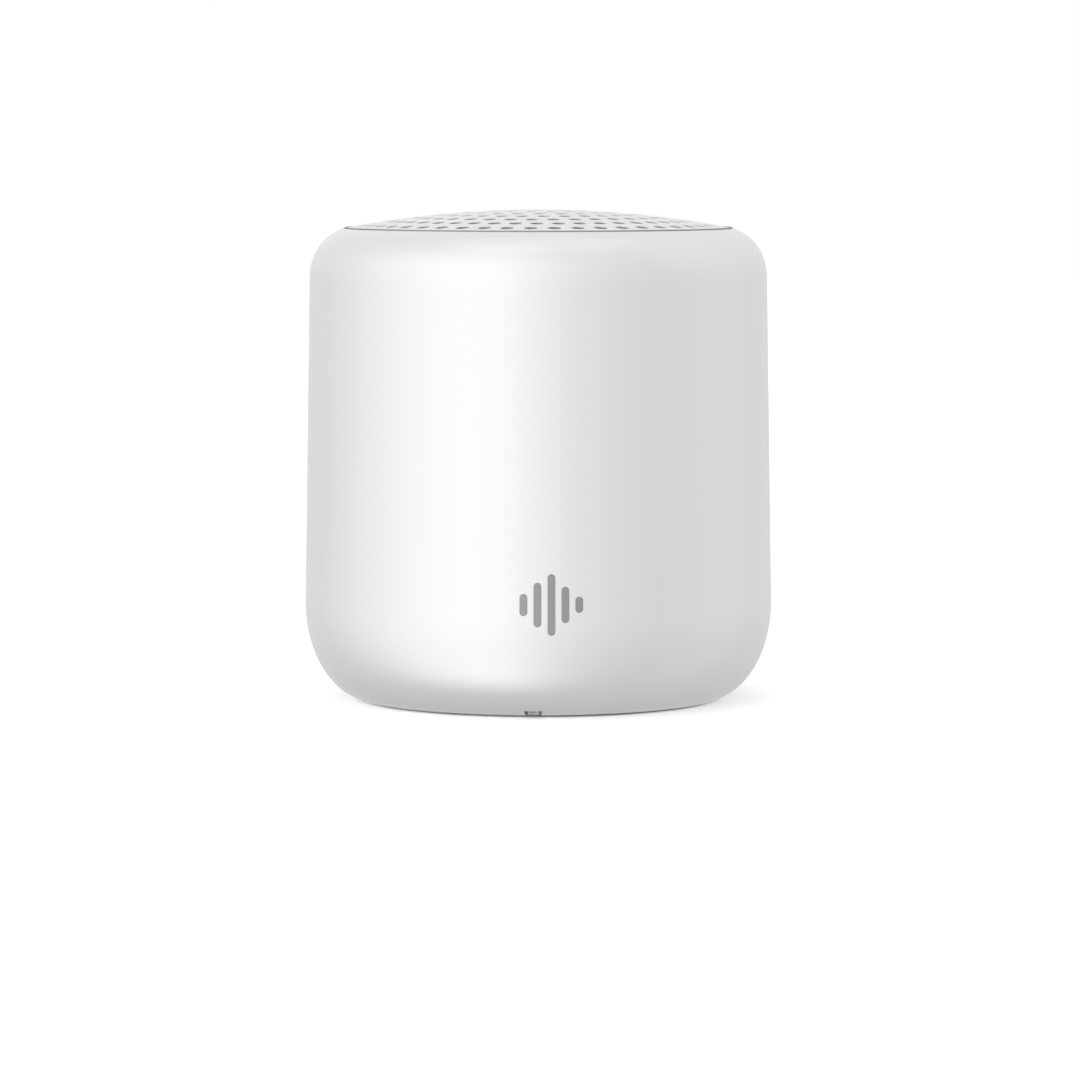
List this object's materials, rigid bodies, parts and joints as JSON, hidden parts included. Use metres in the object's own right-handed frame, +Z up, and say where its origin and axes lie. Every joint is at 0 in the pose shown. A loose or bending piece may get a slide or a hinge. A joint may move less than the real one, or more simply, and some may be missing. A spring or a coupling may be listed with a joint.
{
  "type": "smart speaker",
  "caption": "Palm-sized round wireless speaker with a gloss moulded shell, domed perforated grille on top, rounded base, driver, battery and circuit board inside.",
  "frame": {"origin": "centre of the base, on the plane that the rubber foot stands on", "axes": "+Z up through the driver, -Y towards the front with the indicator slot, +Y towards the charging socket, +X to the right seen from the front"},
  "size_m": [0.048, 0.048, 0.0502],
  "materials": {
    "shell_plastic": "gloss white moulded plastic with a fine satin break-up",
    "grille_paint": "satin white powder coat on perforated sheet",
    "carrier_plastic": "matte light grey plastic",
    "seal_rubber": "matte grey rubber",
    "grille_fabric": "woven acoustic cloth",
    "basket_steel": "black coated pressed steel",
    "foam": "closed cell foam",
    "cone_paper": "dark pressed paper pulp",
    "surround_rubber": "soft black rubber",
    "former_film": "amber film",
    "copper_wire": "enamelled copper winding",
    "spider_cloth": "resin treated woven cloth",
    "plated_steel": "zinc plated steel",
    "ferrite": "dark grey sintered ferrite",
    "tan_laminate": "tan paper laminate",
    "chassis_plastic": "matte light grey moulded plastic",
    "pouch_foil": "silver laminate pouch",
    "board_laminate": "green solder mask on glass laminate",
    "chip_resin": "black moulded resin",
    "can_aluminium": "bright sleeve",
    "socket_steel": "nickel plated stamped steel",
    "black_nylon": "black moulded nylon",
    "plunger_plastic": "red moulded plastic",
    "button_plastic": "satin white moulded plastic",
    "microphone_steel": "drawn metal can",
    "clear_plastic": "frosted clear plastic",
    "lamp_resin": "pale yellow lamp resin",
    "cream_nylon": "cream moulded nylon",
    "red_insulation": "red soft insulation",
    "black_insulation": "black soft insulation",
    "base_plastic": "fine textured light plastic",
    "foot_rubber": "matte grey rubber",
    "screw_steel": "nickel plated steel"
  },
  "bodies": {
    "housing": {"outer_shell": "shell_plastic", "grille": "grille_paint", "grille_carrier": "carrier_plastic", "grille_gasket": "seal_rubber", "grille_cloth": "grille_fabric", "driver_frame": "basket_steel", "driver_gasket": "foam", "surround": "surround_rubber", "spider": "spider_cloth", "top_plate": "plated_steel", "magnet": "ferrite", "yoke": "plated_steel", "terminal_board": "tan_laminate", "inner_chassis": "chassis_plastic", "battery_pad": "foam", "battery_cell": "pouch_foil", "battery_protection_board": "board_laminate", "main_board": "board_laminate", "wireless_chip": "chip_resin", "amplifier_chip": "chip_resin", "power_inductor": "chip_resin", "clock_crystal": "can_aluminium", "filter_capacitor_left": "can_aluminium", "filter_capacitor_right": "can_aluminium", "charge_socket_shell": "socket_steel", "charge_socket_tongue": "black_nylon", "switch_body": "black_nylon", "microphone": "microphone_steel", "microphone_boot": "seal_rubber", "light_guide": "clear_plastic", "status_light": "lamp_resin", "speaker_header": "cream_nylon", "speaker_plug": "cream_nylon", "battery_header": "cream_nylon", "battery_plug": "cream_nylon", "speaker_lead_red": "red_insulation", "speaker_lead_black": "black_insulation", "battery_lead_red": "red_insulation", "battery_lead_black": "black_insulation", "tinsel_lead_red": "copper_wire", "tinsel_lead_black": "copper_wire", "base_cover": "base_plastic", "foot_ring": "foot_rubber", "base_screw_1": "screw_steel", "base_screw_2": "screw_steel", "base_screw_3": "screw_steel", "base_screw_4": "screw_steel"},
    "diaphragm": {"cone": "cone_paper", "dust_cap": "cone_paper", "voice_coil_former": "former_film", "voice_coil": "copper_wire"},
    "power_button": {"power_button": "button_plastic"},
    "switch_plunger": {"switch_plunger": "plunger_plastic"}
  },
  "joints": [
    {"name": "diaphragm_slide", "type": "slide", "parent": "housing", "child": "diaphragm", "axis": [0, 0, 1], "range_m": [-0.001, 0.001], "stiffness_N_per_m": 1300, "deforming": ["surround", "spider", "tinsel_lead_red", "tinsel_lead_black"]},
    {"name": "power_button_press", "type": "slide", "parent": "housing", "child": "power_button", "axis": [-0.5299, -0.848, 0], "range_m": [0, 0.0004], "stiffness_N_per_m": 2000, "springref_m": -0.0003},
    {"name": "switch_plunger_press", "type": "slide", "parent": "housing", "child": "switch_plunger", "axis": [-0.5299, -0.848, 0], "range_m": [-0.0001, 0.0006]}
  ],
  "couplings": [
    {"joint": "switch_plunger_press", "follows": "power_button_press", "ratio": 1}
  ]
}
